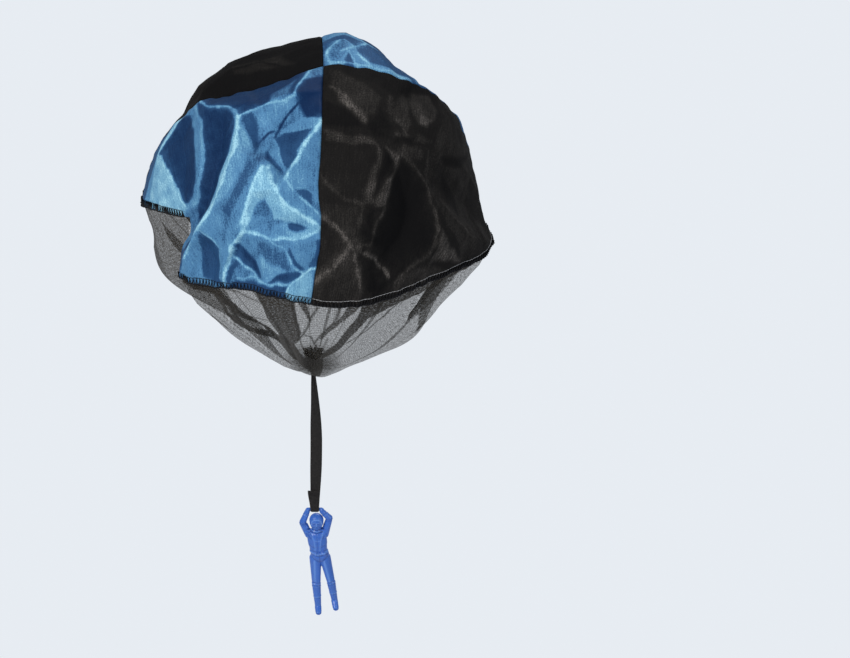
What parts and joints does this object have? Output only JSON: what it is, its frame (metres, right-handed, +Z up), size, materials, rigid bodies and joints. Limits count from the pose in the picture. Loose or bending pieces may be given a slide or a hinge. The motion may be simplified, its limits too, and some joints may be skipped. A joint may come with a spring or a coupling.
{
  "type": "toy parachute",
  "caption": "Throwing toy: crumpled cloth canopy in alternating panels over a gathered net, with a ribbon and a hanging moulded jumper figure.",
  "frame": {"origin": "crown of the open canopy, where its four seams cross", "axes": "+Z up from the hanging figure to the crown; the figure faces -Y; +X to the right seen from the front"},
  "size_m": [0.3142, 0.315, 0.5719],
  "materials": {
    "blue_satin": "crumpled satin",
    "black_satin": "crumpled satin",
    "overlock_thread": "matt thread",
    "black_net": "fine open net",
    "black_ribbon": "woven ribbon",
    "blue_plastic": "gloss moulding"
  },
  "bodies": {
    "canopy": {"canopy_panel_front_left": "blue_satin", "canopy_panel_front_right": "black_satin", "canopy_panel_back_left": "black_satin", "canopy_panel_back_right": "blue_satin", "seam_allowance_front": "overlock_thread", "seam_allowance_right": "overlock_thread", "seam_allowance_back": "overlock_thread", "seam_allowance_left": "overlock_thread", "hem_overlock_front_left": "overlock_thread", "hem_overlock_front_right": "overlock_thread", "hem_overlock_back_left": "overlock_thread", "hem_overlock_back_right": "overlock_thread", "net_skirt": "black_net", "net_bunch": "black_net", "tie_thread": "overlock_thread"},
    "ribbon_knot": {"ribbon_gathered_end": "black_ribbon"},
    "ribbon_strap": {"ribbon_strap": "black_ribbon"},
    "ribbon_loop": {"ribbon_loop": "black_ribbon", "ribbon_stitching": "overlock_thread"},
    "figure": {"jumper_figure": "blue_plastic"}
  },
  "joints": [
    {"name": "ribbon_sway_sideways", "type": "hinge", "parent": "canopy", "child": "ribbon_knot", "pos_m": [-0.008, 0, -0.316], "axis": [0, 1, 0], "range_deg": [-45, 45]},
    {"name": "ribbon_sway_fore_aft", "type": "hinge", "parent": "ribbon_knot", "child": "ribbon_strap", "pos_m": [-0.008, 0, -0.316], "axis": [1, 0, 0], "range_deg": [-45, 45]},
    {"name": "ribbon_twist", "type": "hinge", "parent": "ribbon_strap", "child": "ribbon_loop", "pos_m": [-0.007, 0, -0.3873], "axis": [0, 0, 1], "range_deg": [-180, 180]},
    {"name": "figure_swing", "type": "hinge", "parent": "ribbon_loop", "child": "figure", "pos_m": [-0.007, 0, -0.4593], "axis": [1, 0, 0], "range_deg": [-80, 80]}
  ]
}
